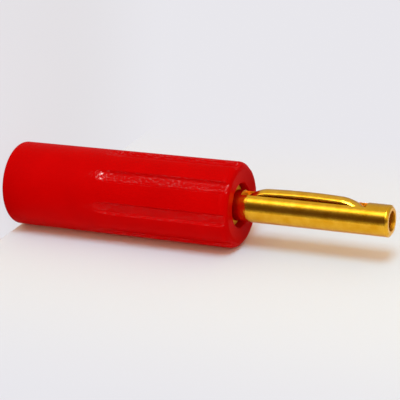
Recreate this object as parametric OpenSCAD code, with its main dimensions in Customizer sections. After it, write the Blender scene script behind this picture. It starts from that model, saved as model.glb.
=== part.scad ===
// Banana plug, 4 mm: a fluted moulded barrel, screwed onto a turned contact whose hollow pin
// carries a bowed leaf spring in a slot. The plug stands on its rear face with the pin along +Z
// and the slot towards -Y. The origin is the middle of the rear face.

/* [Barrel] */
// Outside diameter of the barrel
barrel_d = 11; // [10:0.1:14]
// Length of the barrel, rear face to front face
barrel_len = 32; // [29:0.5:40]
// Rounding of the rear edge
rear_edge_r = 0.5; // [0.2:0.1:1.2]
// Rounding of the front rim
front_rim_r = 1; // [0.3:0.05:1.4]
// Thickness of the rear wall
rear_wall = 2.4; // [1.4:0.2:4]
// Diameter of the cable entry in the rear wall
cable_entry_d = 4.4; // [4.2:0.1:5.2]
// Step from the thread bore out to the wire space behind it
wire_space_step = 1; // [0.6:0.1:1.2]

/* [Grip flutes] */
// Number of flutes round the front half
flute_count = 8; // [4:1:10]
// Length of a flute, front face to the start of its run-out
flute_len = 15.8; // [8:0.2:18]
// Width of a flute's flat floor
flute_floor_w = 1.2; // [0.8:0.1:1.6]
// Slope of a flute's sides, from straight up
flute_flank = 33; // [15:1:40]
// Depth of a flute at its middle
flute_depth = 0.4; // [0.1:0.05:0.45]
// Radius of the curve in which a flute runs out at its rear end
flute_runout_r = 8; // [3.5:0.5:10]
// Turn of the first flute about the axis, away from the slot's side
flute_turn = 9.3; // [0:0.1:44]

/* [Contact] */
// Diameter of the pin
pin_d = 4; // [3.6:0.1:4.4]
// Reach of the pin past the barrel's front face
pin_reach = 19.7; // [18:0.1:26]
// Wall of the hollow pin
pin_wall = 0.75; // [0.5:0.05:0.8]
// Chamfer on the pin's tip
tip_chamfer = 0.25; // [0.1:0.05:0.4]
// Step from the pin out to the thread
thread_step = 0.5; // [0.4:0.05:0.8]
// Length of the thread that holds the barrel
thread_len = 7; // [4:0.5:9]
// Step from the thread out to the collar
collar_step = 0.2; // [0.15:0.05:0.3]
// Length of the collar
collar_len = 1.5; // [1:0.1:2.5]
// Depth of the collar's face behind the barrel's front face
collar_depth = 1; // [0.4:0.1:2]
// Relief of the wire barrel below the thread
relief = 0.1; // [0.05:0.05:0.2]
// Length of the wire barrel behind the thread
wire_barrel_len = 9.5; // [8:0.5:11]
// Diameter of the bore for the bared wire
wire_bore_d = 1.8; // [1.4:0.1:2]
// Depth of the bore for the bared wire
wire_bore_len = 8; // [6.5:0.5:11]

/* [Spring] */
// Width of the slot in the pin
slot_w = 2.2; // [2:0.1:2.4]
// Start of the slot, from the barrel's front face
slot_start = 0.3; // [0.1:0.1:0.8]
// Gap between the slot's end and the pin's tip
slot_land = 3.05; // [2.6:0.05:4]
// Gap at each side of the leaf spring in its slot
slot_gap = 0.15; // [0.05:0.05:0.25]
// Thickness of the leaf spring
spring_t = 0.25; // [0.2:0.05:0.3]
// Width of the spring's tails inside the pin
tail_w = 1.3; // [0.9:0.1:1.5]
// Length of the tail past each end of the slot
tail_len = 1.5; // [0.6:0.1:1.8]
// Height by which the spring's bow stands out of the pin
bow_height = 0.57; // [0.4:0.01:0.65]
// Start of the shoulder, from each end of the slot
shoulder_start = 0.3; // [0.1:0.1:0.6]
// Length over which the shoulder widens from the tail to the full width
shoulder_len = 1.1; // [0.6:0.1:2]
// Slope at which the spring leaves and enters the pin
ramp_angle = 30; // [24:1:36]
// Slope of the long bow at each of its ends
bow_angle = 2.7; // [2:0.1:3.2]
// Radius of the bend from the rear ramp into the bow
rear_bend_r = 4.6; // [4.5:0.1:5]
// Radius of the bend from the bow into the front ramp
front_bend_r = 5; // [4.5:0.1:5.4]
// Radius of the bends from the ramps into the tails
tail_bend_r = 1.5; // [1:0.1:1.8]

/* [Clamp screw] */
// Diameter of the clamp screw
screw_d = 2; // [1.6:0.1:2.4]
// Place of the screw, from the rear end of the wire barrel
screw_place = 4; // [2.5:0.1:5]
// Width of the screwdriver slot
driver_slot_w = 0.4; // [0.3:0.05:0.5]
// Depth of the screwdriver slot
driver_slot_depth = 0.5; // [0.3:0.05:0.6]

/* [Clearances] */
// Radial clearance of the collar in the barrel's mouth
mouth_clear = 0.15; // [0.1:0.05:0.3]
// Radial clearance of each thread
thread_clear = 0.05; // [0.03:0.01:0.08]
// Clearance of the spring's tails under the pin's wall
tail_clear = 0.15; // [0.1:0.05:0.25]
// Clearance of the screw's tip above the wire bore
screw_tip_clear = 0.05; // [0.03:0.01:0.1]

/* [Hidden] */
$fn = 96;
red = [0.80, 0.01, 0.02];
gold = [0.85, 0.64, 0.14];
steel = [0.72, 0.72, 0.70];
// Steps in which an arc of the spring's side line is drawn
arc_steps = 10;
// Overshoot that lets a cutting body pass cleanly through a face
over = 1;

// Heights over the rear face
tip_z = barrel_len + pin_reach;
collar_z = barrel_len - collar_depth;
seat_z = collar_z - collar_len;
thread_end_z = seat_z - thread_len;
wire_end_z = thread_end_z - wire_barrel_len;
screw_z = wire_end_z + screw_place;
slot_z = barrel_len + slot_start;
slot_len = pin_reach - slot_start - slot_land;
bore_end_z = slot_z - tail_len - tail_clear;

// Radii about the plug's axis
barrel_r = barrel_d / 2;
pin_r = pin_d / 2;
pin_bore_r = pin_r - pin_wall;
thread_r = pin_r + thread_step;
collar_r = thread_r + collar_step;
wire_barrel_r = thread_r - relief;
wire_bore_r = wire_bore_d / 2;
mouth_r = collar_r + mouth_clear;
thread_bore_r = thread_r + thread_clear;
wire_space_r = thread_bore_r + wire_space_step;
screw_r = screw_d / 2;
// The screw's top stays inside the thread bore, through which the contact is drawn out
screw_top = sqrt(wire_barrel_r * wire_barrel_r - screw_r * screw_r);
screw_tip = wire_bore_r + screw_tip_clear;

// The spring's crown line: its height over the plug's axis, and the lengths of its runs
strip_w = slot_w - 2 * slot_gap;
tail_h = pin_bore_r - tail_clear;
bow_rise = pin_r + bow_height - tail_h;
rear_bend_rise = rear_bend_r * (cos(bow_angle) - cos(ramp_angle));
front_bend_rise = front_bend_r * (cos(bow_angle) - cos(ramp_angle));
tail_bend_rise = tail_bend_r * (1 - cos(ramp_angle));
tail_bend_len = tail_bend_r * sin(ramp_angle);
rear_bend_len = rear_bend_r * (sin(ramp_angle) - sin(bow_angle));
front_bend_len = front_bend_r * (sin(ramp_angle) - sin(bow_angle));
// The tail bends finish under the slot's ends, and the bow fills what the ramps leave
tail_run = tail_len - tail_bend_len / 2;
// The bow's own rise and radius follow from its length, which the ramps leave free
bow_len_share = tan(bow_angle / 2) / 2;
ramp_rises = rear_bend_rise + front_bend_rise + 2 * tail_bend_rise;
free_len = slot_len - tail_bend_len - rear_bend_len - front_bend_len;
ramps_len = (2 * bow_rise - ramp_rises - 2 * free_len * bow_len_share)
          / (tan(ramp_angle) - 2 * bow_len_share);
bow_len = free_len - ramps_len;
bow_r = bow_len / (2 * sin(bow_angle));
bow_own_rise = bow_r * (1 - cos(bow_angle));
rear_ramp_rise = bow_rise - bow_own_rise - rear_bend_rise - tail_bend_rise;
front_ramp_rise = bow_rise - bow_own_rise - front_bend_rise - tail_bend_rise;

// Round bar on the plug's axis from z0 to z1
module bar(r, z0, z1) {
    translate([0, 0, z0])
        cylinder(r = r, h = z1 - z0);
}

// Half section of the barrel's outside, with the rear edge and the front rim rounded
module barrel_section() {
    square([barrel_r - max(rear_edge_r, front_rim_r), barrel_len]);
    translate([0, rear_edge_r])
        square([barrel_r, barrel_len - rear_edge_r - front_rim_r]);
    square([barrel_r - rear_edge_r, barrel_len / 2]);
    translate([0, barrel_len / 2])
        square([barrel_r - front_rim_r, barrel_len / 2]);
    translate([barrel_r - rear_edge_r, rear_edge_r])
        circle(r = rear_edge_r);
    translate([barrel_r - front_rim_r, barrel_len - front_rim_r])
        circle(r = front_rim_r);
}

// Section of a flute, with the middle of its floor on the origin and its open side towards -X
module flute_section() {
    floor_half = flute_floor_w / 2;
    mouth_half = floor_half + over * tan(flute_flank);
    polygon([[0, -floor_half], [0, floor_half], [-over, mouth_half], [-over, -mouth_half]]);
}

// Cutter of one flute on the -Y side: a bar of its section that curves out at its rear end
module flute_cutter() {
    translate([0, flute_depth - barrel_r, barrel_len - flute_len]) {
        rotate([0, 0, 90])
            linear_extrude(height = flute_len + over)
                flute_section();
        translate([0, -flute_runout_r, 0])
            rotate([0, 180, 0])
                rotate([90, 0, 90])
                    rotate_extrude(angle = 90)
                        translate([flute_runout_r, 0])
                            flute_section();
    }
}

// One-piece moulding: grip, mouth round the pin, thread bore, wire space and cable entry
module insulating_barrel() {
    color(red)
        difference() {
            rotate_extrude()
                barrel_section();
            for (i = [0 : flute_count - 1])
                rotate([0, 0, flute_turn + i * 360 / flute_count])
                    flute_cutter();
            bar(mouth_r, seat_z, barrel_len + over);
            bar(thread_bore_r, thread_end_z - over, seat_z + over);
            bar(wire_space_r, rear_wall, thread_end_z);
            bar(cable_entry_d / 2, -over, rear_wall + over);
        }
}

// One turned piece: hollow slotted pin, collar, thread and wire barrel with its cross hole
module contact_pin() {
    color(gold)
        difference() {
            union() {
                bar(pin_r, collar_z - over / 2, tip_z - tip_chamfer);
                translate([0, 0, tip_z - tip_chamfer])
                    cylinder(r1 = pin_r, r2 = pin_r - tip_chamfer, h = tip_chamfer);
                bar(collar_r, seat_z, collar_z);
                bar(thread_r, thread_end_z, seat_z);
                bar(wire_barrel_r, wire_end_z, thread_end_z);
            }
            bar(pin_bore_r, bore_end_z, tip_z + over);
            translate([-slot_w / 2, -pin_r - over, slot_z])
                cube([slot_w, pin_r + over, slot_len]);
            bar(wire_bore_r, wire_end_z - over, wire_end_z + wire_bore_len);
            translate([0, 0, screw_z])
                rotate([90, 0, 0])
                    cylinder(r = screw_r + thread_clear, h = wire_barrel_r + over);
        }
}

// Points of an arc that starts at p, left out, and turns from one heading to another
function arc(p, r, from, to) = [
    for (i = [1 : arc_steps])
        let (a = from + (to - from) * i / arc_steps)
            p + sign(to - from) * r * [sin(a) - sin(from), cos(from) - cos(a)]
];

// Point reached from p by a straight run at a heading
function run(p, len, heading) = p + len * [cos(heading), sin(heading)];

// Last point of a list
function last(points) = points[len(points) - 1];

// Side line of the spring as [z, height over the axis], at a depth below its crown:
// tail, ramp up, bow, ramp down, tail
function spring_line(depth) =
    let (
        tail_start = [slot_z - tail_len, tail_h - depth],
        tail_end = run(tail_start, tail_run, 0),
        rear_foot = arc(tail_end, tail_bend_r + depth, 0, ramp_angle),
        rear_top = run(last(rear_foot), rear_ramp_rise / sin(ramp_angle), ramp_angle),
        rear_bend = arc(rear_top, rear_bend_r - depth, ramp_angle, bow_angle),
        bow = arc(last(rear_bend), bow_r - depth, bow_angle, -bow_angle),
        front_bend = arc(last(bow), front_bend_r - depth, -bow_angle, -ramp_angle),
        front_end = run(last(front_bend), front_ramp_rise / sin(ramp_angle), -ramp_angle),
        front_foot = arc(front_end, tail_bend_r + depth, -ramp_angle, 0)
    )
    concat(
        [tail_start, tail_end], rear_foot, [rear_top], rear_bend, bow,
        front_bend, [front_end], front_foot, [run(last(front_foot), tail_run, 0)]
    );

// Half section of the spring for turning about the plug's axis: its crown line and its underside
module spring_section() {
    crown = spring_line(0);
    under = spring_line(spring_t);
    polygon([
        for (p = crown) [p[1], p[0]],
        for (i = [len(under) - 1 : -1 : 0]) [under[i][1], under[i][0]]
    ]);
}

// Outline of the spring's blank seen from the -Y side: tails, tapered shoulders and full width
module blank_outline() {
    side = [
        [tail_w / 2, -tail_len - over],
        [tail_w / 2, shoulder_start],
        [strip_w / 2, shoulder_start + shoulder_len],
        [strip_w / 2, slot_len - shoulder_start - shoulder_len],
        [tail_w / 2, slot_len - shoulder_start],
        [tail_w / 2, slot_len + tail_len + over]
    ];
    translate([0, slot_z])
        polygon([
            for (p = side) p,
            for (i = [len(side) - 1 : -1 : 0]) [-side[i][0], side[i][1]]
        ]);
}

// Leaf spring, crowned about the plug's axis, with its tails inside the pin and its bow out
// through the slot
module contact_spring() {
    color(gold)
        intersection() {
            rotate_extrude()
                spring_section();
            rotate([90, 0, 0])
                linear_extrude(height = pin_d)
                    blank_outline();
        }
}

// Slotted grub screw that clamps the bared wire, set open and below the wire barrel's surface
module clamp_screw() {
    color(steel)
        translate([0, 0, screw_z])
            rotate([90, 0, 0])
                difference() {
                    translate([0, 0, screw_tip])
                        cylinder(r = screw_r, h = screw_top - screw_tip);
                    translate([-screw_r - over, -driver_slot_w / 2, screw_top - driver_slot_depth])
                        cube([2 * (screw_r + over), driver_slot_w, driver_slot_depth + over]);
                }
}

insulating_barrel();
contact_pin();
contact_spring();
clamp_screw();
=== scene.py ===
"""Banana plug for 4 mm sockets: the look of the part, made over the frame of its solids.

The plug stands on its rear face with the pin along +Z and the slot towards -Y. Lengths in the
surfaces are in millimetres, and angles round the axis go from the slot's side towards +X.
"""

import math

import bmesh
import bpy
import numpy as np
from mathutils import Matrix, Vector


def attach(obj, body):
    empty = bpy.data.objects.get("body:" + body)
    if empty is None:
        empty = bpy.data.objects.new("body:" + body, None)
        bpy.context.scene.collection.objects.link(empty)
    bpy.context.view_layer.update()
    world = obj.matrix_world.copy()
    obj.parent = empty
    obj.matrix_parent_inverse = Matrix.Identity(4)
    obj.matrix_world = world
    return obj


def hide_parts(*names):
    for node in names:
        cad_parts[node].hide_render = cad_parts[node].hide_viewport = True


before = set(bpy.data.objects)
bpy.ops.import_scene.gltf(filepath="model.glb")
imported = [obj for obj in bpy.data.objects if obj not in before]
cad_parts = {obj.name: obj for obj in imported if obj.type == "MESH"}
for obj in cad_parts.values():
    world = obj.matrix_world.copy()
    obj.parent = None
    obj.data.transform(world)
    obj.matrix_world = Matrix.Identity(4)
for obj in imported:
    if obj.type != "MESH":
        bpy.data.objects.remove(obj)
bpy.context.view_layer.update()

MM = 0.001

# Sizes of the barrel and its grip flutes
BARREL_R = 5.5
BARREL_LEN = 32.0
REAR_EDGE_R = 0.5
FRONT_RIM_R = 1.0
REAR_WALL = 2.4
CABLE_ENTRY_R = 2.2
WIRE_SPACE_STEP = 1.0
FLUTE_COUNT = 8
FLUTE_LEN = 15.8
FLUTE_FLOOR_W = 1.2
FLUTE_FLANK = 33
FLUTE_DEPTH = 0.4
FLUTE_RUNOUT_R = 8.0
FLUTE_TURN = 9.3

# Sizes of the contact
PIN_R = 2.0
PIN_REACH = 19.7
PIN_WALL = 0.75
TIP_CHAMFER = 0.25
COLLAR_STEP = 0.2
COLLAR_LEN = 1.5
COLLAR_DEPTH = 1.0
THREAD_STEP = 0.5
THREAD_LEN = 7.0
THREAD_PITCH = 0.5
THREAD_DEPTH = 0.28
RELIEF = 0.1
WIRE_BARREL_LEN = 9.5
WIRE_BORE_R = 0.9
WIRE_BORE_LEN = 8.0
DRILL_POINT = 0.5
SLOT_W = 2.2
SLOT_START = 0.3
SLOT_LAND = 3.05

# Sizes of the leaf spring
SPRING_T = 0.25
SPRING_EDGE_R = 0.09
SPRING_CROWN_R = 1.05
SLOT_GAP = 0.15
BOW_HEIGHT = 0.57
BOW_ANGLE = 2.7
RAMP_ANGLE = 30
REAR_BEND_R = 4.6
FRONT_BEND_R = 5.0
TAIL_BEND_R = 1.5
TAIL_W = 1.3
TAIL_LEN = 1.5
SHOULDER_START = 0.3
SHOULDER_END = 1.4

# Sizes of the clamp screw
SCREW_R = 1.0
SCREW_TOP = 2.18
SCREW_PLACE = 4.0
SCREW_PITCH = 0.4
SCREW_THREAD_DEPTH = 0.2
DRIVER_SLOT_W = 0.4
DRIVER_SLOT_DEPTH = 0.5

# Clearances
MOUTH_CLEAR = 0.15
THREAD_CLEAR = 0.05
TAIL_CLEAR = 0.15
SCREW_CLEAR = 0.05

# Heights and radii that follow from the sizes
FLUTE_Z = BARREL_LEN - FLUTE_LEN
TIP_Z = BARREL_LEN + PIN_REACH
COLLAR_Z = BARREL_LEN - COLLAR_DEPTH
SEAT_Z = COLLAR_Z - COLLAR_LEN
THREAD_END_Z = SEAT_Z - THREAD_LEN
WIRE_END_Z = THREAD_END_Z - WIRE_BARREL_LEN
WIRE_BORE_END_Z = WIRE_END_Z + WIRE_BORE_LEN
SCREW_Z = WIRE_END_Z + SCREW_PLACE
SLOT_Z = BARREL_LEN + SLOT_START
SLOT_END_Z = TIP_Z - SLOT_LAND
PIN_BORE_END_Z = SLOT_Z - TAIL_LEN - TAIL_CLEAR
PIN_BORE_R = PIN_R - PIN_WALL
THREAD_R = PIN_R + THREAD_STEP
COLLAR_R = THREAD_R + COLLAR_STEP
WIRE_BARREL_R = THREAD_R - RELIEF
MOUTH_R = COLLAR_R + MOUTH_CLEAR
THREAD_BORE_R = THREAD_R + THREAD_CLEAR
WIRE_SPACE_R = THREAD_BORE_R + WIRE_SPACE_STEP
SCREW_TIP = WIRE_BORE_R + SCREW_CLEAR
SCREW_HOLE_R = SCREW_R + SCREW_CLEAR


# Small helpers for lines and grids

def stretch(start, end, count):
    """Points on the straight line from start to end, without the start itself."""
    start, end = np.array(start, float), np.array(end, float)
    return start + (end - start) * np.linspace(0, 1, count + 1)[1:, None]


def bend(centre, radius, first, last, count):
    """Points on an arc of the section about a centre, by angle from the radius axis in degrees, without
    the first one."""
    a = np.radians(np.linspace(first, last, count + 1)[1:])
    return np.stack([centre[0] + radius * np.cos(a), centre[1] + radius * np.sin(a)], axis=-1)


def smooth_step(x, low, high):
    """Cubic step from 0 at low to 1 at high."""
    t = np.clip((x - low) / (high - low), 0, 1)
    return t * t * (3 - 2 * t)


def smooth_min(a, b, blend):
    """The smaller of a and b, with a round transition of the given width."""
    h = np.clip(0.5 + 0.5 * (b - a) / blend, 0, 1)
    return b * (1 - h) + a * h - blend * h * (1 - h)


def on_axis(r, angle, z):
    """Points at radius r, angle from the slot's side towards +X, and height z."""
    return np.stack(np.broadcast_arrays(r * np.sin(angle), -r * np.cos(angle), z), axis=-1)


def grid_faces(ids, closed_rows, closed_columns):
    """Quads between the neighbours of a grid of vertex numbers."""
    if closed_rows:
        ids = np.concatenate([ids, ids[:1]])
    if closed_columns:
        ids = np.concatenate([ids, ids[:, :1]], axis=1)
    quads = np.stack([ids[:-1, :-1], ids[:-1, 1:], ids[1:, 1:], ids[1:, :-1]], axis=-1)
    return quads.reshape(-1, 4)


def add_piece(name, points, faces, material, body, node, slot, shares=(), sharp=38):
    """Mesh piece from points in millimetres, with outward normals, that stands for a CAD node. Each
    of its shares is an attribute: a name, a domain and a value from 0 to 1 per point or face."""
    mesh = bpy.data.meshes.new(name)
    mesh.from_pydata((points * MM).tolist(), [], faces)
    work = bmesh.new()
    work.from_mesh(mesh)
    bmesh.ops.recalc_face_normals(work, faces=work.faces)
    work.to_mesh(mesh)
    work.free()
    mesh.polygons.foreach_set("use_smooth", np.ones(len(mesh.polygons), dtype=bool))
    mesh.set_sharp_from_angle(angle=math.radians(sharp))
    for share_name, domain, values in shares:
        mesh.attributes.new(share_name, "FLOAT", domain).data.foreach_set("value", values)
    mesh.materials.append(material)
    piece = bpy.data.objects.new(name, mesh)
    bpy.context.scene.collection.objects.link(piece)
    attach(piece, body)
    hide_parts(node)
    return piece


# Materials

BUMP_DEPTH = 0.1


def principled(name, **values):
    """Material with one Principled shader whose sockets are set to the values given."""
    material = bpy.data.materials.new(name)
    material.use_nodes = True
    shader = material.node_tree.nodes["Principled BSDF"]
    for socket, value in values.items():
        shader.inputs[socket.replace("_", " ")].default_value = value
    return material


def finish_group():
    """Shader node group for what is uneven in a finish: a fine grain, which lies closer along the plug
    where it stands for turning marks, and slow blotches. Both are noise in object coordinates."""
    group = bpy.data.node_groups.new("uneven_finish", "ShaderNodeTree")
    for name in ("Grain Scale", "Grain Along", "Blotch Scale"):
        group.interface.new_socket(name, in_out="INPUT", socket_type="NodeSocketFloat")
    for name in ("Grain", "Blotches"):
        group.interface.new_socket(name, in_out="OUTPUT", socket_type="NodeSocketFloat")
    nodes, links = group.nodes, group.links
    given = nodes.new("NodeGroupInput")
    result = nodes.new("NodeGroupOutput")
    place = nodes.new("ShaderNodeTexCoord")
    closer = nodes.new("ShaderNodeCombineXYZ")
    closer.inputs["X"].default_value = 1.0
    closer.inputs["Y"].default_value = 1.0
    mapping = nodes.new("ShaderNodeMapping")
    grain = nodes.new("ShaderNodeTexNoise")
    grain.inputs["Detail"].default_value = 3.0
    slow = nodes.new("ShaderNodeTexNoise")
    spread = nodes.new("ShaderNodeMapRange")
    spread.inputs["From Min"].default_value = 0.35
    spread.inputs["From Max"].default_value = 0.65
    links.new(given.outputs["Grain Along"], closer.inputs["Z"])
    links.new(closer.outputs[0], mapping.inputs["Scale"])
    links.new(place.outputs["Object"], mapping.inputs["Vector"])
    links.new(mapping.outputs[0], grain.inputs["Vector"])
    links.new(given.outputs["Grain Scale"], grain.inputs["Scale"])
    links.new(grain.outputs["Fac"], result.inputs["Grain"])
    links.new(place.outputs["Object"], slow.inputs["Vector"])
    links.new(given.outputs["Blotch Scale"], slow.inputs["Scale"])
    links.new(slow.outputs["Fac"], spread.inputs["Value"])
    links.new(spread.outputs[0], result.inputs["Blotches"])
    return group


def uneven(material, tones, blotch_scale, grain_scale, strength, grain_along=1.0):
    """Gives a material the uneven finish: its blotches go between two tones, and its grain is a bump."""
    nodes, links = material.node_tree.nodes, material.node_tree.links
    finish = nodes.new("ShaderNodeGroup")
    finish.node_tree = UNEVEN_FINISH
    finish.inputs["Grain Scale"].default_value = grain_scale
    finish.inputs["Grain Along"].default_value = grain_along
    finish.inputs["Blotch Scale"].default_value = blotch_scale
    tone = nodes.new("ShaderNodeMix")
    tone.data_type = "RGBA"
    tone.inputs["A"].default_value, tone.inputs["B"].default_value = tones
    bump = nodes.new("ShaderNodeBump")
    bump.inputs["Strength"].default_value = strength
    bump.inputs["Distance"].default_value = BUMP_DEPTH * MM
    shader = nodes["Principled BSDF"]
    links.new(finish.outputs["Blotches"], tone.inputs["Factor"])
    links.new(tone.outputs["Result"], shader.inputs["Base Color"])
    links.new(finish.outputs["Grain"], bump.inputs["Height"])
    links.new(bump.outputs["Normal"], shader.inputs["Normal"])


def by_share(material, attribute, socket, low, high, node="Principled BSDF", scuffs=None):
    """Lets a socket of the material go from low to high with an attribute of the mesh. With scuffs, a
    noise of that scale in object coordinates breaks it up into specks."""
    nodes, links = material.node_tree.nodes, material.node_tree.links
    share = nodes.new("ShaderNodeAttribute")
    share.attribute_name = attribute
    level = nodes.new("ShaderNodeMapRange")
    level.inputs["To Min"].default_value = low
    level.inputs["To Max"].default_value = high
    value = share.outputs["Fac"]
    if scuffs:
        place = nodes.new("ShaderNodeTexCoord")
        noise = nodes.new("ShaderNodeTexNoise")
        noise.inputs["Scale"].default_value = scuffs
        specks = nodes.new("ShaderNodeMapRange")
        specks.inputs["From Min"].default_value = 0.55
        specks.inputs["From Max"].default_value = 0.62
        specks.inputs["To Min"].default_value = 0.03
        broken = nodes.new("ShaderNodeMath")
        broken.operation = "MULTIPLY"
        links.new(place.outputs["Object"], noise.inputs["Vector"])
        links.new(noise.outputs["Fac"], specks.inputs["Value"])
        links.new(specks.outputs[0], broken.inputs[0])
        links.new(value, broken.inputs[1])
        value = broken.outputs[0]
    links.new(value, level.inputs["Value"])
    links.new(level.outputs[0], nodes[node].inputs[socket])


UNEVEN_FINISH = finish_group()

red_plastic = principled(
    "red_plastic", Roughness=0.4, Specular_IOR_Level=0.01, Coat_Roughness=0.12, Coat_IOR=1.8)
uneven(red_plastic, [(0.58, 0.0003, 0.0005, 1), (0.54, 0.0003, 0.0005, 1)],
       blotch_scale=250.0, grain_scale=3000.0, strength=0.2)
by_share(red_plastic, "gloss", "Coat Weight", low=0.0, high=0.75, scuffs=4200.0)
by_share(red_plastic, "gloss", "Strength", low=0.05, high=0.2125, node="Bump")

gold_plating = principled("gold_plating", Metallic=1.0)
uneven(gold_plating, [(0.87, 0.46, 0.03, 1), (0.78, 0.37, 0.012, 1)],
       blotch_scale=700.0, grain_scale=1800.0, strength=0.16, grain_along=2.0)
by_share(gold_plating, "milled", "Roughness", low=0.14, high=0.5)

spring_plating = principled("spring_plating", Metallic=1.0, Roughness=0.2)
uneven(spring_plating, [(0.87, 0.46, 0.035, 1), (0.78, 0.37, 0.015, 1)],
       blotch_scale=900.0, grain_scale=2400.0, strength=0.12)

screw_steel = principled("screw_steel", Metallic=1.0, Roughness=0.32)
uneven(screw_steel, [(0.66, 0.65, 0.62, 1), (0.57, 0.56, 0.53, 1)],
       blotch_scale=1500.0, grain_scale=4000.0, strength=0.1)


# The moulded barrel

FLOOR_CORNER = 0.2
FLUTE_EDGE = 0.16
LIP_R = 0.12
FRONT_DISH = 0.12
RUNOUT_LOW, RUNOUT_HIGH = FLUTE_Z - 2.8, FLUTE_Z + 0.4
EDGE_GLOSS_FADE = (0.06, 0.16)
END_GLOSS_FADE = (FLUTE_Z - 1.6, FLUTE_Z + 0.4)
END_GLOSS_START = (0, 0.1)
GLOSS_START = (0, 0.012)
END_GLOSS = 0.8
FLOOR_GLOSS = 0.4


def flute_floor(angle, z):
    """Radius at which the nearest flute cuts the barrel: the greater of that of a flat floor and that
    of two sides that lean out from the floor's edges, with a round corner between them. Behind the
    flute's rear end the floor rises on a large arc until the flute runs out."""
    behind = np.clip(FLUTE_Z - z, 0, FLUTE_RUNOUT_R)
    floor = BARREL_R - FLUTE_DEPTH + FLUTE_RUNOUT_R - np.sqrt(FLUTE_RUNOUT_R ** 2 - behind ** 2)
    share = 2 * np.pi / FLUTE_COUNT
    off = np.abs((angle - math.radians(FLUTE_TURN) + share / 2) % share - share / 2)
    lean = math.tan(math.radians(FLUTE_FLANK))
    side = (floor * lean - FLUTE_FLOOR_W / 2) / (np.cos(off) * lean - np.sin(off))
    return -smooth_min(-floor / np.cos(off), -side, FLOOR_CORNER)


def barrel_columns():
    """Angles of the barrel's columns, which lie closest on the flutes' sides."""
    side_in, side_out, between = 5.8, 9.4, 180 / FLUTE_COUNT
    marks = [-between, -side_out, -side_in, side_in, side_out, between]
    spans = [np.linspace(a, b, 14, endpoint=False) for a, b in zip(marks, marks[1:])]
    flutes = FLUTE_TURN + np.arange(FLUTE_COUNT) * 360 / FLUTE_COUNT
    return np.radians(flutes[:, None] + np.concatenate(spans)).reshape(1, -1)


def barrel_skin():
    """Closed ring-shaped skin: a section line of radius and height goes round the outside, over the
    rim, down the mouth, the thread bore and the wire space and out of the cable entry, and is
    turned about the axis. Outside, the radius is the smaller of the line's own and the flutes'. The
    share of gloss is greatest along the flutes' outer edges and at their rear ends."""
    angle = barrel_columns()
    rim = (BARREL_R - FRONT_RIM_R, BARREL_LEN - FRONT_RIM_R)
    face_z = BARREL_LEN - FRONT_DISH
    line = np.concatenate([
        [[CABLE_ENTRY_R + LIP_R, 0.0]],
        stretch((CABLE_ENTRY_R + LIP_R, 0), (BARREL_R - REAR_EDGE_R, 0), 3),
        bend((BARREL_R - REAR_EDGE_R, REAR_EDGE_R), REAR_EDGE_R, -90, 0, 10),
        stretch((BARREL_R, REAR_EDGE_R), (BARREL_R, RUNOUT_LOW), 8),
        stretch((BARREL_R, RUNOUT_LOW), (BARREL_R, RUNOUT_HIGH), 40),
        stretch((BARREL_R, RUNOUT_HIGH), (BARREL_R, rim[1]), 14),
        bend(rim, FRONT_RIM_R, 0, 90, 20),
        stretch((rim[0], BARREL_LEN), (MOUTH_R + LIP_R, face_z), 6),
        bend((MOUTH_R + LIP_R, face_z - LIP_R), LIP_R, 90, 180, 6),
        stretch((MOUTH_R, face_z - LIP_R), (MOUTH_R, SEAT_Z), 4),
        stretch((MOUTH_R, SEAT_Z), (THREAD_BORE_R, SEAT_Z), 2),
        stretch((THREAD_BORE_R, SEAT_Z), (THREAD_BORE_R, THREAD_END_Z), 6),
        stretch((THREAD_BORE_R, THREAD_END_Z), (WIRE_SPACE_R, THREAD_END_Z), 2),
        stretch((WIRE_SPACE_R, THREAD_END_Z), (WIRE_SPACE_R, REAR_WALL), 8),
        stretch((WIRE_SPACE_R, REAR_WALL), (CABLE_ENTRY_R, REAR_WALL), 2),
        stretch((CABLE_ENTRY_R, REAR_WALL), (CABLE_ENTRY_R, LIP_R), 4),
        bend((CABLE_ENTRY_R + LIP_R, LIP_R), LIP_R, 180, 270, 5)[:-1],
    ])
    r, z = line[:, :1], line[:, 1:]
    fluted = smooth_min(r + 0 * angle, flute_floor(angle, z), FLUTE_EDGE)
    sunk = np.where(r > rim[0], r - fluted, 0)
    points = on_axis(r - sunk, angle, z)
    edge = 1 - smooth_step(sunk, *EDGE_GLOSS_FADE)
    end = END_GLOSS * (1 - smooth_step(z, *END_GLOSS_FADE)) * smooth_step(sunk, *END_GLOSS_START)
    gloss = smooth_step(sunk, *GLOSS_START) * np.maximum(np.maximum(edge, end), FLOOR_GLOSS)
    ids = np.arange(gloss.size).reshape(gloss.shape)
    return points.reshape(-1, 3), grid_faces(ids, True, True).tolist(), gloss.ravel()


# The turned contact

SLOT_COLUMNS = 16
OTHER_COLUMNS = 80
WIRE_HOLE_HALF = 100
HOLE_PATCH = 1.3
HOLE_RINGS = (0.7, 0.4, 0.15, 0.0)
TURNED_EDGE = 0.1
TIP_EDGE = 0.06
THREAD_RUN_IN = 0.08
THREAD_CREST, THREAD_SLOPE = 1.35, 3.2
TIP_MILLED = 0.4


def thread_radius(angle, z, crest, depth, pitch, low, high):
    """Radius of a helical thread: a wave of one pitch per turn, with flat crests and roots, that
    fades out at both ends."""
    phase = (z / pitch - angle / (2 * np.pi)) % 1
    wave = np.clip(THREAD_CREST - THREAD_SLOPE * np.abs(phase - 0.5), 0, 1)
    fade = smooth_step(z, low, low + pitch) * smooth_step(-z, -high, -high + pitch)
    return crest - depth * (1 - wave) * fade


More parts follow.
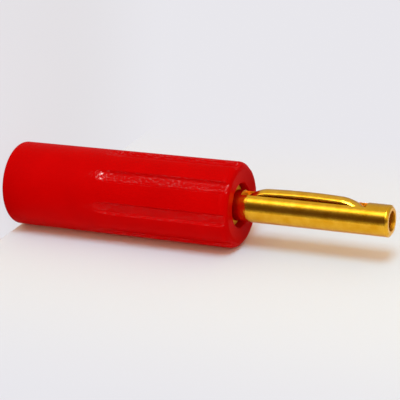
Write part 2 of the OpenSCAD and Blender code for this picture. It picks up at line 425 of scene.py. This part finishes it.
def contact_line():
    """Section line of the contact as radius, height and half angle of a window at the slot's side: from
    the end of the wire bore out over the rear end, the wire barrel, the thread, the collar and the pin,
    and back down the pin's bore. Also gives the first and the last row of each stretch of it."""
    wide = math.asin(SLOT_W / 2 / PIN_R)
    wide_bore = math.asin(SLOT_W / 2 / PIN_BORE_R)
    wide_wire = math.radians(WIRE_HOLE_HALF)
    hole_low, hole_high = SCREW_Z - HOLE_PATCH, SCREW_Z + HOLE_PATCH
    edge, soft = TURNED_EDGE, TIP_EDGE
    chamfer_r, chamfer_z = PIN_R - TIP_CHAMFER, TIP_Z - TIP_CHAMFER
    route = [
        ("wire_bore", 4, (WIRE_BORE_R, hole_high, wide_wire)),
        ("wire_hole", 16, (WIRE_BORE_R, hole_low, wide_wire)),
        ("wire_bore_mouth", 4, (WIRE_BORE_R, WIRE_END_Z + edge, wide_wire)),
        ("wire_bore_edge", 1, (WIRE_BORE_R + edge, WIRE_END_Z, wide_wire)),
        ("rear_end", 4, (WIRE_BARREL_R - edge, WIRE_END_Z, wide)),
        ("rear_edge", 1, (WIRE_BARREL_R, WIRE_END_Z + edge, wide)),
        ("wire_barrel_rear", 4, (WIRE_BARREL_R, hole_low, wide)),
        ("screw_hole", 16, (WIRE_BARREL_R, hole_high, wide)),
        ("wire_barrel_front", 5, (WIRE_BARREL_R, THREAD_END_Z, wide)),
        ("thread_edge", 1, (THREAD_R, THREAD_END_Z + THREAD_RUN_IN, wide)),
        ("thread", 150, (THREAD_R, SEAT_Z, wide)),
        ("seat", 1, (COLLAR_R - edge, SEAT_Z, wide)),
        ("collar_rear_edge", 1, (COLLAR_R, SEAT_Z + edge, wide)),
        ("collar_side", 3, (COLLAR_R, COLLAR_Z - edge, wide)),
        ("collar_edge", 1, (COLLAR_R - edge, COLLAR_Z, wide)),
        ("collar_face", 3, (PIN_R, COLLAR_Z, wide)),
        ("pin_root", 4, (PIN_R, SLOT_Z, wide)),
        ("slot", 40, (PIN_R, SLOT_END_Z, wide)),
        ("pin_land", 5, (PIN_R, chamfer_z - 2 * soft, wide)),
        ("pin_end", 1, (PIN_R, chamfer_z - soft, wide)),
        ("tip_edge", 1, (PIN_R - soft * 0.3, chamfer_z, wide)),
        ("tip_chamfer", 1, (chamfer_r + soft * 0.2, TIP_Z - soft, wide)),
        ("end_face_edge", 1, (chamfer_r - soft, TIP_Z, wide)),
        ("end_face", 3, (PIN_BORE_R + soft, TIP_Z, wide_bore)),
        ("bore_edge", 1, (PIN_BORE_R, TIP_Z - soft, wide_bore)),
        ("bore_land", 5, (PIN_BORE_R, SLOT_END_Z, wide_bore)),
        ("bore_slot", 40, (PIN_BORE_R, SLOT_Z, wide_bore)),
        ("bore_end", 4, (PIN_BORE_R, PIN_BORE_END_Z, wide_bore)),
    ]
    parts = [np.array([[WIRE_BORE_R, WIRE_BORE_END_Z, wide_wire]])]
    marks = {}
    row = 0
    for name, count, end in route:
        parts.append(stretch(parts[-1][-1], end, count))
        marks[name] = (row, row + count)
        row += count
    return np.concatenate(parts), marks


def hole_rings(rim, rim_bore):
    """Rings of points of the screw's hole: on the wire barrel from the rim of the hole's cells to a
    circle, straight in to the wire bore, and on the bore's wall half way to the rim of its cells."""
    turn = np.arctan2(rim[:, 2] - SCREW_Z, rim[:, 0])
    x, up = SCREW_HOLE_R * np.cos(turn), SCREW_Z + SCREW_HOLE_R * np.sin(turn)
    share = np.array(HOLE_RINGS)[:, None]
    skin_x = x + (rim[:, 0] - x) * share
    skin_z = up + (rim[:, 2] - up) * share
    skin = np.stack([skin_x, -np.sqrt(WIRE_BARREL_R ** 2 - skin_x ** 2), skin_z], axis=-1)
    bore_x = np.clip(x, -WIRE_BORE_R, WIRE_BORE_R)
    bore_y = -np.sqrt(WIRE_BORE_R ** 2 - bore_x ** 2)
    ledge = 0.02
    wall = [np.stack([x, bore_y - ledge, up], axis=-1), np.stack([bore_x, bore_y, up], axis=-1)]
    rim_turn = np.arctan2(rim_bore[:, 0], -rim_bore[:, 1])
    middle = (np.arcsin(bore_x / WIRE_BORE_R) + rim_turn) / 2
    wall.append(on_axis(WIRE_BORE_R, middle, (up + rim_bore[:, 2]) / 2))
    return np.concatenate([skin, np.stack(wall)])


def contact_skin():
    """Closed skin of the contact: its section line is turned about the axis on columns whose first ones
    span the window. The slot's cells are left out of the pin and its bore, and flat walls join the two.
    The screw hole's cells are left out of the wire barrel and the wire bore, and rings join the two. A
    drill point and a flat end the bores. The milled share is 1 on cut walls, in the pin's bore and on
    the collar's face, and less on the tip."""
    line, marks = contact_line()
    z, half = line[:, 1:2], line[:, 2:]
    columns = SLOT_COLUMNS + OTHER_COLUMNS
    window = np.linspace(-1, 1, SLOT_COLUMNS + 1)
    others = np.linspace(0, 1, OTHER_COLUMNS + 1)[1:-1]
    angle = np.concatenate([half * window, half + others * (2 * np.pi - 2 * half)], axis=1)
    r = np.repeat(line[:, :1], columns, axis=1)
    first, last = marks["thread"]
    turns = slice(first, last + 1)
    r[turns] = thread_radius(angle[turns], z[turns], THREAD_R, THREAD_DEPTH, THREAD_PITCH,
                             z[first, 0], z[last, 0])
    points = on_axis(r, angle, z).reshape(-1, 3)
    ids = np.arange(len(points)).reshape(-1, columns)
    row = np.arange(len(ids) - 1)
    keep = np.ones((len(row), columns), dtype=bool)
    for name in ("slot", "bore_slot", "screw_hole", "wire_hole"):
        keep[slice(*marks[name]), :SLOT_COLUMNS] = False
    first, last = marks["collar_face"]
    cut = (row >= marks["bore_edge"][0]) | ((row >= first) & (row < last))
    tip = (row >= marks["tip_edge"][0]) & ~cut
    faces = [grid_faces(ids, False, True)[keep.ravel()]]
    milled = [np.repeat(np.where(tip, TIP_MILLED, cut), columns)[keep.ravel()]]

    def window_cells(name):
        first, last = marks[name]
        return ids[first:last + 1, :SLOT_COLUMNS + 1]

    def border(cells):
        return np.concatenate([cells[0, :-1], cells[:-1, -1], cells[-1, :0:-1], cells[:0:-1, 0]])

    # Walls of the slot
    outer, inner = window_cells("slot"), window_cells("bore_slot")[::-1]
    for a, b in ((outer[:, 0], inner[:, 0]), (outer[:, -1], inner[:, -1]),
                 (outer[0], inner[0]), (outer[-1], inner[-1])):
        faces.append(grid_faces(np.stack([a, b]), False, False))
        milled.append(np.ones(len(faces[-1])))

    # The screw's hole, from its rim on the wire barrel to its rim in the wire bore
    rim, rim_bore = border(window_cells("screw_hole")), border(window_cells("wire_hole")[::-1])
    rings = hole_rings(points[rim], points[rim_bore])
    ring_ids = len(points) + np.arange(rings[..., 0].size).reshape(rings.shape[:2])
    faces.append(grid_faces(np.concatenate([rim[None], ring_ids, rim_bore[None]]), False, True))
    milled.append(np.repeat(np.arange(len(rings) + 1) >= len(HOLE_RINGS), len(rim)))

    # Ends of the two bores: a drill point and a flat
    ends = np.array([[0, 0, WIRE_BORE_END_Z + DRILL_POINT], [0, 0, PIN_BORE_END_Z]])
    points = np.concatenate([points, rings.reshape(-1, 3), ends])
    faces = np.concatenate(faces).tolist()
    for circle, middle in ((ids[0], len(points) - 2), (ids[-1], len(points) - 1)):
        faces += np.stack([circle, np.roll(circle, -1), np.full(columns, middle)], axis=-1).tolist()
        milled.append(np.ones(columns))
    return points, faces, np.concatenate(milled)


# The leaf spring

def spring_side_line():
    """Crown line of the spring as height along the plug, distance from the axis and heading: tail,
    bend, ramp, bend, long bow, bend, ramp, bend, tail. Straight runs and arcs follow each other at
    the same heading."""
    ramp, bow = math.radians(RAMP_ANGLE), math.radians(BOW_ANGLE)
    tail_h = PIN_BORE_R - TAIL_CLEAR
    rise = PIN_R + BOW_HEIGHT - tail_h
    tail_rise = TAIL_BEND_R * (1 - math.cos(ramp))
    tail_bend_len = TAIL_BEND_R * math.sin(ramp)
    drop = math.cos(bow) - math.cos(ramp)
    reach = math.sin(ramp) - math.sin(bow)
    share = math.tan(bow / 2) / 2
    bends = REAR_BEND_R + FRONT_BEND_R
    free = SLOT_END_Z - SLOT_Z - tail_bend_len - bends * reach
    ramps = (2 * rise - bends * drop - 2 * tail_rise - 2 * free * share) / (math.tan(ramp) - 2 * share)
    bow_r = (free - ramps) / (2 * math.sin(bow))
    bow_rise = bow_r * (1 - math.cos(bow))
    rear_run = (rise - bow_rise - REAR_BEND_R * drop - tail_rise) / math.sin(ramp)
    front_run = (rise - bow_rise - FRONT_BEND_R * drop - tail_rise) / math.sin(ramp)
    tail_run = TAIL_LEN - tail_bend_len / 2
    pieces = [(tail_run, 0, 0), (TAIL_BEND_R * ramp, 0, ramp), (rear_run, ramp, ramp),
              (REAR_BEND_R * (ramp - bow), ramp, bow), (bow_r * 2 * bow, bow, -bow),
              (FRONT_BEND_R * (ramp - bow), -bow, -ramp), (front_run, -ramp, -ramp),
              (TAIL_BEND_R * ramp, -ramp, 0), (tail_run, 0, 0)]
    fine, stations = 400, 221
    heading = np.concatenate([np.linspace(a, b, fine, endpoint=False) for _, a, b in pieces])
    step = np.concatenate([np.full(fine, length / fine) for length, _, _ in pieces])
    z = SLOT_Z - TAIL_LEN + np.concatenate([[0], np.cumsum(step * np.cos(heading))])[:-1]
    h = tail_h + np.concatenate([[0], np.cumsum(step * np.sin(heading))])[:-1]
    pick = np.linspace(0, len(z) - 1, stations).round().astype(int)
    return z[pick], h[pick], heading[pick]


def spring_skin():
    """Closed strip: a rounded section of the strip's width and thickness, bent across to the crown's
    radius, follows the crown line. The section goes over the top, round two corners, back along the
    underside and round the other two."""
    z, h, heading = spring_side_line()
    narrow, full = TAIL_W / 2, SLOT_W / 2 - SLOT_GAP
    from_end = np.minimum(z - SLOT_Z, SLOT_END_Z - z)
    half = narrow + (full - narrow) * smooth_step(from_end, SHOULDER_START, SHOULDER_END)
    top = np.linspace(-1, 1, 15)
    a = np.radians(np.linspace(0, 90, 6))[1:]
    out, down = SPRING_EDGE_R * np.sin(a), SPRING_EDGE_R * (1 - np.cos(a))
    side = np.ones(len(a))
    across = np.concatenate([top, side, side, top[::-1], -side, -side])
    grow = np.concatenate([0 * top, out, out[::-1], 0 * top, -out, -out[::-1]])
    depth = np.concatenate([0 * top, down, SPRING_T - down[::-1],
                            0 * top + SPRING_T, SPRING_T - down, down[::-1]])
    lean = np.arcsin(((half[:, None] - SPRING_EDGE_R) * across + grow) / SPRING_CROWN_R)
    radius = SPRING_CROWN_R - depth * np.cos(heading)[:, None]
    along = z[:, None] + depth * np.sin(heading)[:, None]
    y = SPRING_CROWN_R - h[:, None] - radius * np.cos(lean)
    points = np.stack([radius * np.sin(lean), y, along], axis=-1)
    ids = np.arange(lean.size).reshape(lean.shape)
    faces = grid_faces(ids, False, True).tolist()
    return points.reshape(-1, 3), faces + [ids[0].tolist(), ids[-1].tolist()]


# The clamp screw

def screw_skin():
    """Closed grub screw: a threaded cylinder from its tip up, whose top carries a straight slot. The
    top is two flat lands and the slot's floor and walls, joined to the cylinder's own columns."""
    chamfer, tip_step, tip_len = 0.08, 0.25, 0.2
    thread_low = SCREW_TIP + 0.1
    land_columns = 33
    floor_y = SCREW_TOP - DRIVER_SLOT_DEPTH
    side = math.asin(DRIVER_SLOT_W / 2 / (SCREW_R - chamfer))
    arcs = [np.linspace(side, np.pi - side, land_columns),
            np.linspace(np.pi + side, 2 * np.pi - side, land_columns)]
    gap = np.linspace(-side, side, 5)[1:-1]
    lower = np.concatenate([arcs[0], np.pi + gap, arcs[1], 2 * np.pi + gap])
    out = np.concatenate([
        [[SCREW_R - tip_step, SCREW_TIP]],
        stretch((SCREW_R, SCREW_TIP + tip_len), (SCREW_R, floor_y), 16),
    ])
    upper = np.concatenate([
        stretch((SCREW_R, floor_y), (SCREW_R, SCREW_TOP - chamfer), 9),
        [[SCREW_R - chamfer, SCREW_TOP]],
    ])

    def ring(r, angle, y):
        if r >= SCREW_R:
            r = thread_radius(angle, y + 0 * angle, SCREW_R, SCREW_THREAD_DEPTH, SCREW_PITCH,
                              thread_low, SCREW_TOP)
        return np.stack([r * np.cos(angle), 0 * angle - y, SCREW_Z + r * np.sin(angle)], axis=-1)

    points = [ring(r, lower, y) for r, y in out]
    ids = np.arange(len(out) * len(lower)).reshape(len(out), len(lower))
    faces = grid_faces(ids, False, True).tolist() + [ids[0].tolist()]
    count = ids.size
    first_column = 0
    for arc in arcs:
        points += [ring(r, arc, y) for r, y in upper]
        land = count + np.arange(len(upper) * land_columns).reshape(len(upper), land_columns)
        count += land.size
        foot = ids[-1, first_column:first_column + land_columns]
        first_column += land_columns + len(gap)
        whole = np.concatenate([foot[None], land])
        faces += grid_faces(whole, False, False).tolist()
        faces.append(land[-1].tolist())
        faces.append(whole[:, 0].tolist() + whole[::-1, -1].tolist())
    faces.append(ids[-1].tolist())
    return np.concatenate(points), faces


skin, faces, gloss = barrel_skin()
add_piece("barrel_moulding", skin, faces, red_plastic, "barrel", "insulating_barrel", "red_plastic",
          shares=[("gloss", "POINT", gloss)])
skin, faces, milled = contact_skin()
add_piece("turned_contact", skin, faces, gold_plating, "contact", "contact_pin", "gold_plating",
          shares=[("milled", "FACE", milled)])
add_piece("leaf_spring", *spring_skin(), spring_plating, "spring", "contact_spring", "spring_plating")
add_piece("grub_screw", *screw_skin(), screw_steel, "screw", "clamp_screw", "screw_steel")


# Stage: a pale floor under the plug and a pale backdrop behind it

BACKGROUND = (0.81, 0.80, 0.84, 1)
CARD_COLOR = (0.80, 0.79, 0.83, 1)
CARD_REACH = 400
GLOW_NEAR, GLOW_FAR = 10, 45
FLOOR_GLOW, BACKDROP_GLOW = 0.85, 0.0
BACKDROP_TURN = 8.8
BACKDROP_GAP = 0.02
MIRROR_EDGE = 20
SHADE_EDGE = 0.5


def stage_card(name, corners, material):
    """One flat card of the stage."""
    mesh = bpy.data.meshes.new(name)
    mesh.from_pydata([[c * MM for c in corner] for corner in corners], [], [[0, 1, 2, 3]])
    mesh.materials.append(material)
    card = bpy.data.objects.new(name, mesh)
    bpy.context.scene.collection.objects.link(card)
    return card


def stage_material(name, see_through, glow, ends=()):
    """Pale card that the camera sees from its front. Its share of even glow grows from the value given
    at the plug to all of it further off, and the rest is the light on it. The named kinds of rays, and
    all rays from behind, pass through it. At each of its ends, which is a side, an x and a kind of ray,
    such rays pass on that side of the x."""
    material = bpy.data.materials.new(name)
    material.use_nodes = True
    nodes, links = material.node_tree.nodes, material.node_tree.links
    nodes.clear()
    out = nodes.new("ShaderNodeOutputMaterial")
    mix = nodes.new("ShaderNodeMixShader")
    clear = nodes.new("ShaderNodeBsdfTransparent")
    lit = nodes.new("ShaderNodeBsdfDiffuse")
    lit.inputs["Color"].default_value = CARD_COLOR
    even = nodes.new("ShaderNodeEmission")
    even.inputs["Color"].default_value = BACKGROUND
    pale = nodes.new("ShaderNodeMixShader")
    geometry = nodes.new("ShaderNodeNewGeometry")
    parts = nodes.new("ShaderNodeSeparateXYZ")
    off = nodes.new("ShaderNodeMath")
    off.operation = "ABSOLUTE"
    even_share = nodes.new("ShaderNodeMapRange")
    even_share.interpolation_type = "SMOOTHSTEP"
    even_share.inputs["From Min"].default_value = GLOW_NEAR * MM
    even_share.inputs["From Max"].default_value = GLOW_FAR * MM
    even_share.inputs["To Min"].default_value = glow
    links.new(geometry.outputs["Position"], parts.inputs["Vector"])
    links.new(parts.outputs["X"], off.inputs[0])
    links.new(off.outputs[0], even_share.inputs["Value"])
    links.new(even_share.outputs[0], pale.inputs["Fac"])
    links.new(lit.outputs[0], pale.inputs[1])
    links.new(even.outputs[0], pale.inputs[2])
    path = nodes.new("ShaderNodeLightPath")
    passing = geometry.outputs["Backfacing"]
    for ray in see_through:
        most = nodes.new("ShaderNodeMath")
        most.operation = "MAXIMUM"
        links.new(passing, most.inputs[0])
        links.new(path.outputs[ray], most.inputs[1])
        passing = most.outputs[0]
    for side, edge, ray in ends:
        past = nodes.new("ShaderNodeMath")
        past.operation = side
        past.inputs[1].default_value = edge * MM
        more = nodes.new("ShaderNodeMath")
        more.operation = "MULTIPLY_ADD"
        links.new(parts.outputs["X"], past.inputs[0])
        links.new(past.outputs[0], more.inputs[0])
        links.new(path.outputs[ray], more.inputs[1])
        links.new(passing, more.inputs[2])
        passing = more.outputs[0]
    links.new(passing, mix.inputs["Fac"])
    links.new(pale.outputs[0], mix.inputs[1])
    links.new(clear.outputs[0], mix.inputs[2])
    links.new(mix.outputs[0], out.inputs["Surface"])
    return material


floor_card = stage_material(
    "floor_card", ("Is Shadow Ray", "Is Glossy Ray", "Is Diffuse Ray"), FLOOR_GLOW)
stage_card("studio_floor",
           [(-CARD_REACH, -CARD_REACH, 0), (CARD_REACH, -CARD_REACH, 0),
            (CARD_REACH, CARD_REACH, 0), (-CARD_REACH, CARD_REACH, 0)],
           floor_card)

backdrop_card = stage_material(
    "backdrop_card", ("Is Shadow Ray",), BACKDROP_GLOW,
    ends=(("GREATER_THAN", MIRROR_EDGE, "Is Glossy Ray"), ("LESS_THAN", SHADE_EDGE, "Is Diffuse Ray")))
turn = math.radians(BACKDROP_TURN)
along = np.array([math.cos(turn), math.sin(turn), 0])
behind = np.array([-math.sin(turn), math.cos(turn), 0])
upright = np.array([0, 0, CARD_REACH])
low_left, low_right = (behind * (BARREL_R + BACKDROP_GAP) + along * x for x in (-CARD_REACH, CARD_REACH))
stage_card("studio_backdrop",
           [low_left, low_right, low_right + upright, low_left + upright],
           backdrop_card)


# Light: a soft surround with panels for the reflections, and five soft lamps

FILL_COLOR = (1.0, 0.75, 0.5, 1)
FILL_BEHIND, FILL_FRONT, FILL_FULL_AT = 0.2, 0.88, 0.6
PANEL_STRENGTH = 3.0
PANELS = [(-180, 0.2), (-110, 0.1), (-60, 0.17), (-20, 0.23), (12, 0.23), (24, 0.48), (33, 0.86),
          (42, 0.48), (52, 0.12), (62, 0.055), (80, 0.03), (97, 0.05), (104, 0.1), (113, 0.2),
          (140, 0.22), (180, 0.2)]
DARK_PANEL, DARK_PANEL_WARMTH = 0.06, 0.7
AIM_Z = 26
COOL = (0.36, 0.76, 1.0)
WARM = (1.0, 0.58, 0.28)
WHITE = (1.0, 1.0, 1.0)


def surround():
    """World with a warm fill that comes mostly from the slot's side. Mirrored, its brightness goes by
    the angle round the plug, as of a row of tall soft panels, of which the dark ones are warm."""
    world = bpy.data.worlds.new("studio")
    bpy.context.scene.world = world
    world.use_nodes = True
    nodes, links = world.node_tree.nodes, world.node_tree.links
    nodes.clear()
    out = nodes.new("ShaderNodeOutputWorld")
    mix = nodes.new("ShaderNodeMixShader")
    seen = nodes.new("ShaderNodeBackground")
    seen.inputs["Color"].default_value = BACKGROUND
    fill = nodes.new("ShaderNodeBackground")
    fill.inputs["Color"].default_value = FILL_COLOR
    front = nodes.new("ShaderNodeMapRange")
    front.inputs["From Max"].default_value = FILL_FULL_AT
    front.inputs["To Min"].default_value = FILL_BEHIND
    front.inputs["To Max"].default_value = FILL_FRONT
    panel = nodes.new("ShaderNodeBackground")
    panel.inputs["Strength"].default_value = PANEL_STRENGTH
    light = nodes.new("ShaderNodeMixShader")
    path = nodes.new("ShaderNodeLightPath")
    place = nodes.new("ShaderNodeTexCoord")
    parts = nodes.new("ShaderNodeSeparateXYZ")
    angle_round = nodes.new("ShaderNodeMath")
    angle_round.operation = "ARCTAN2"
    back = nodes.new("ShaderNodeMath")
    back.operation = "MULTIPLY"
    back.inputs[1].default_value = -1.0
    share = nodes.new("ShaderNodeMapRange")
    share.inputs["From Min"].default_value = -math.pi
    share.inputs["From Max"].default_value = math.pi
    ramp = nodes.new("ShaderNodeValToRGB")
    stops = ramp.color_ramp.elements
    while len(stops) < len(PANELS):
        stops.new(0.5)
    for stop, (angle, value) in zip(stops, PANELS):
        stop.position = (angle + 180) / 360
        green_blue = value * (DARK_PANEL_WARMTH if value < DARK_PANEL else 1.0)
        stop.color = (value, green_blue, green_blue, 1)
    links.new(path.outputs["Is Glossy Ray"], light.inputs["Fac"])
    links.new(fill.outputs[0], light.inputs[1])
    links.new(panel.outputs[0], light.inputs[2])
    links.new(place.outputs["Generated"], parts.inputs["Vector"])
    links.new(parts.outputs["Y"], back.inputs[0])
    links.new(parts.outputs["X"], angle_round.inputs[0])
    links.new(back.outputs[0], angle_round.inputs[1])
    links.new(back.outputs[0], front.inputs["Value"])
    links.new(front.outputs[0], fill.inputs["Strength"])
    links.new(angle_round.outputs[0], share.inputs["Value"])
    links.new(share.outputs[0], ramp.inputs["Fac"])
    links.new(ramp.outputs["Color"], panel.inputs["Color"])
    links.new(path.outputs["Is Camera Ray"], mix.inputs["Fac"])
    links.new(light.outputs[0], mix.inputs[1])
    links.new(seen.outputs[0], mix.inputs[2])
    links.new(mix.outputs[0], out.inputs["Surface"])


def lamp(name, angle, height, distance, wide, tall, power, color, mirrored=False):
    """Soft lamp that faces the middle of the plug, by angle round the axis, the sine of its height and
    its distance and size in metres. It either lights the plug or only shows in its gloss."""
    data = bpy.data.lights.new(name, "AREA")
    data.shape = "RECTANGLE"
    data.size, data.size_y = wide, tall
    data.energy = power
    data.color = color
    item = bpy.data.objects.new(name, data)
    bpy.context.scene.collection.objects.link(item)
    a = math.radians(angle)
    flat = math.sqrt(1 - height * height)
    way = Vector((math.sin(a) * flat, -math.cos(a) * flat, height))
    item.location = Vector((0, 0, AIM_Z * MM)) + way * distance
    item.rotation_mode = "QUATERNION"
    item.rotation_quaternion = way.to_track_quat("Z", "Y")
    item.visible_glossy, item.visible_diffuse = mirrored, not mirrored


surround()
lamp("key_lamp", angle=28, height=0.18, distance=0.6, wide=0.26, tall=0.25, power=2.15, color=COOL)
lamp("front_lamp", angle=80, height=0.1, distance=0.6, wide=0.4, tall=0.25, power=0.8, color=WARM)
lamp("back_lamp", angle=-114, height=0.1, distance=0.6, wide=0.4, tall=0.25, power=1.6, color=WARM)
lamp("top_lamp", angle=40, height=0.8, distance=0.35, wide=0.2, tall=0.2, power=0.1, color=WHITE)
lamp("gloss_lamp", angle=36, height=0.09, distance=0.6, wide=0.4, tall=0.2, power=4.0, color=WHITE,
     mirrored=True)


# Camera: the photo's view, fitted to the outline, with the plug's axis across the picture

VIEW_TARGET = (0, -0.12, 26.171)
VIEW_DISTANCE = 200
VIEW_AWAY, VIEW_RISE = math.radians(24.466), math.radians(13.473)

camera_data = bpy.data.cameras.new("camera")
camera_data.sensor_width = 36
camera_data.lens = 141.15
camera_data.clip_start, camera_data.clip_end = 0.01, 10
camera = bpy.data.objects.new("camera", camera_data)
bpy.context.scene.collection.objects.link(camera)
back_way = Vector((math.cos(VIEW_AWAY) * math.cos(VIEW_RISE),
                   -math.sin(VIEW_RISE),
                   math.sin(VIEW_AWAY) * math.cos(VIEW_RISE)))
right_way = Vector((-math.sin(VIEW_AWAY), 0, math.cos(VIEW_AWAY)))
up_way = back_way.cross(right_way)
place = (Vector(VIEW_TARGET) + back_way * VIEW_DISTANCE) * MM
turned = Matrix((right_way, up_way, back_way)).transposed().to_4x4()
camera.matrix_world = Matrix.Translation(place) @ turned
bpy.context.scene.camera = camera
bpy.context.scene.view_settings.view_transform = "Standard"
